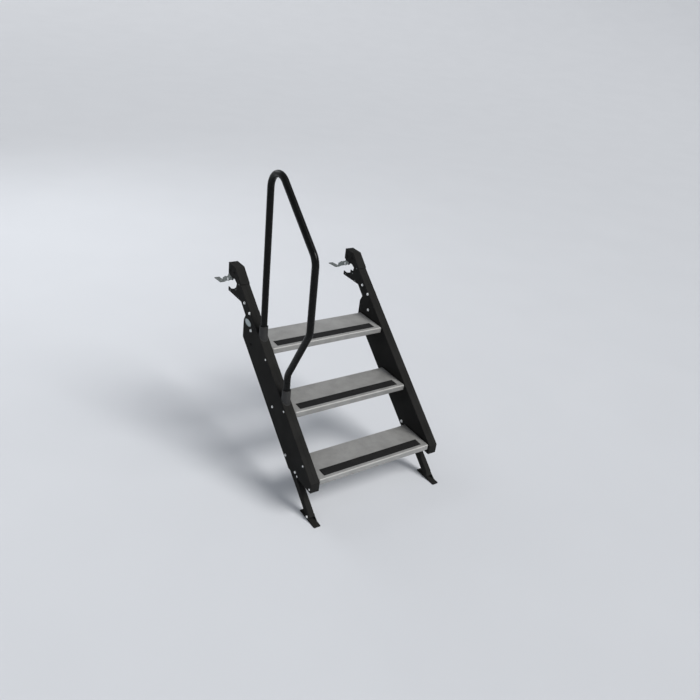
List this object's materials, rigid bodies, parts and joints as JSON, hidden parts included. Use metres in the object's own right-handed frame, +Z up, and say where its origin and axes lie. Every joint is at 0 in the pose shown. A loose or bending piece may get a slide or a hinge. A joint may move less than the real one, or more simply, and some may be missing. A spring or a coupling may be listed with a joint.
{
  "type": "tailgate step",
  "caption": "Hook-on tailgate step with boxed side rails, folded grip-strip treads, a lift-out bent-tube handrail, swing latches, and telescoping legs on swivel feet.",
  "frame": {"origin": "on the ground plane at the middle of the overall length and width; the feet stand on z = 0", "axes": "+X across the step to the side without the handrail, +Y towards the vehicle the step hooks on to, +Z up"},
  "size_m": [0.7126, 1.0977, 1.3934],
  "materials": {
    "black_paint": "fine-textured black powder coat, semi-matt",
    "sleeve_paint": "dark grey powder coat, matt, a shade lighter than the rails",
    "rail_tube": "smooth black powder coat, satin",
    "tread_metal": "matt mill-finish sheet, lightly blasted",
    "grit_tape": "coarse mineral grit, fully matt",
    "zinc_plate": "dull zinc plate",
    "bright_bolt": "bright zinc plate",
    "badge_face": "satin pale grey-green enamel, blank"
  },
  "bodies": {
    "frame": {"rail_outer_shell_left": "black_paint", "rail_inner_shell_left": "black_paint", "hook_cap_left": "black_paint", "hook_plate_left": "black_paint", "leg_guide_left": "black_paint", "latch_bracket_left": "zinc_plate", "latch_pin_left": "bright_bolt", "rail_outer_shell_right": "black_paint", "rail_inner_shell_right": "black_paint", "hook_cap_right": "black_paint", "hook_plate_right": "black_paint", "leg_guide_right": "black_paint", "latch_bracket_right": "zinc_plate", "latch_pin_right": "bright_bolt", "hook_bolt_left_1": "bright_bolt", "hook_bolt_left_2": "bright_bolt", "hook_bolt_left_3": "bright_bolt", "head_bolt_left_1": "black_paint", "head_bolt_left_2": "black_paint", "tread_bolt_left_1": "bright_bolt", "tread_bolt_left_2": "bright_bolt", "tread_bolt_left_3": "black_paint", "seam_screw_left_1": "bright_bolt", "seam_screw_left_2": "bright_bolt", "seam_screw_left_3": "bright_bolt", "seam_screw_left_4": "bright_bolt", "leg_clamp_bolt_left": "bright_bolt", "hook_bolt_right_1": "bright_bolt", "hook_bolt_right_2": "bright_bolt", "hook_bolt_right_3": "bright_bolt", "head_bolt_right_1": "black_paint", "head_bolt_right_2": "black_paint", "tread_bolt_right_1": "bright_bolt", "tread_bolt_right_2": "bright_bolt", "tread_bolt_right_3": "black_paint", "seam_screw_right_1": "bright_bolt", "seam_screw_right_2": "bright_bolt", "seam_screw_right_3": "bright_bolt", "seam_screw_right_4": "bright_bolt", "leg_clamp_bolt_right": "bright_bolt", "tread_bottom": "tread_metal", "grip_strip_bottom": "grit_tape", "tread_middle": "tread_metal", "grip_strip_middle": "grit_tape", "tread_top": "tread_metal", "grip_strip_top": "grit_tape", "handrail_socket_front": "sleeve_paint", "handrail_set_screw_front": "bright_bolt", "handrail_socket_rear": "sleeve_paint", "handrail_set_screw_rear": "bright_bolt", "badge_plate": "badge_face"},
    "handrail": {"handrail": "rail_tube"},
    "latch_left": {"latch_lever_left": "zinc_plate"},
    "leg_left": {"leg_left": "black_paint"},
    "foot_left": {"foot_left": "black_paint", "foot_pin_left": "bright_bolt"},
    "latch_right": {"latch_lever_right": "zinc_plate"},
    "leg_right": {"leg_right": "black_paint"},
    "foot_right": {"foot_right": "black_paint", "foot_pin_right": "bright_bolt"}
  },
  "joints": [
    {"name": "handrail_lift", "type": "slide", "parent": "frame", "child": "handrail", "axis": [0, 0.0323, 0.9995], "range_m": [0, 0.12]},
    {"name": "latch_left_swing", "type": "hinge", "parent": "frame", "child": "latch_left", "pos_m": [-0.334, 0.3957, 0.773], "axis": [1, 0, 0], "range_deg": [-68, 30]},
    {"name": "leg_left_extend", "type": "slide", "parent": "frame", "child": "leg_left", "axis": [0, -0.7717, -0.636], "range_m": [-0.06, 0.15]},
    {"name": "foot_left_swivel", "type": "hinge", "parent": "leg_left", "child": "foot_left", "pos_m": [-0.33385, -0.4857, 0.015], "axis": [1, 0, 0], "range_deg": [-25, 25]},
    {"name": "latch_right_swing", "type": "hinge", "parent": "frame", "child": "latch_right", "pos_m": [0.334, 0.3957, 0.773], "axis": [1, 0, 0], "range_deg": [-68, 30]},
    {"name": "leg_right_extend", "type": "slide", "parent": "frame", "child": "leg_right", "axis": [0, -0.7717, -0.636], "range_m": [-0.06, 0.15]},
    {"name": "foot_right_swivel", "type": "hinge", "parent": "leg_right", "child": "foot_right", "pos_m": [0.33385, -0.4857, 0.015], "axis": [1, 0, 0], "range_deg": [-25, 25]}
  ]
}
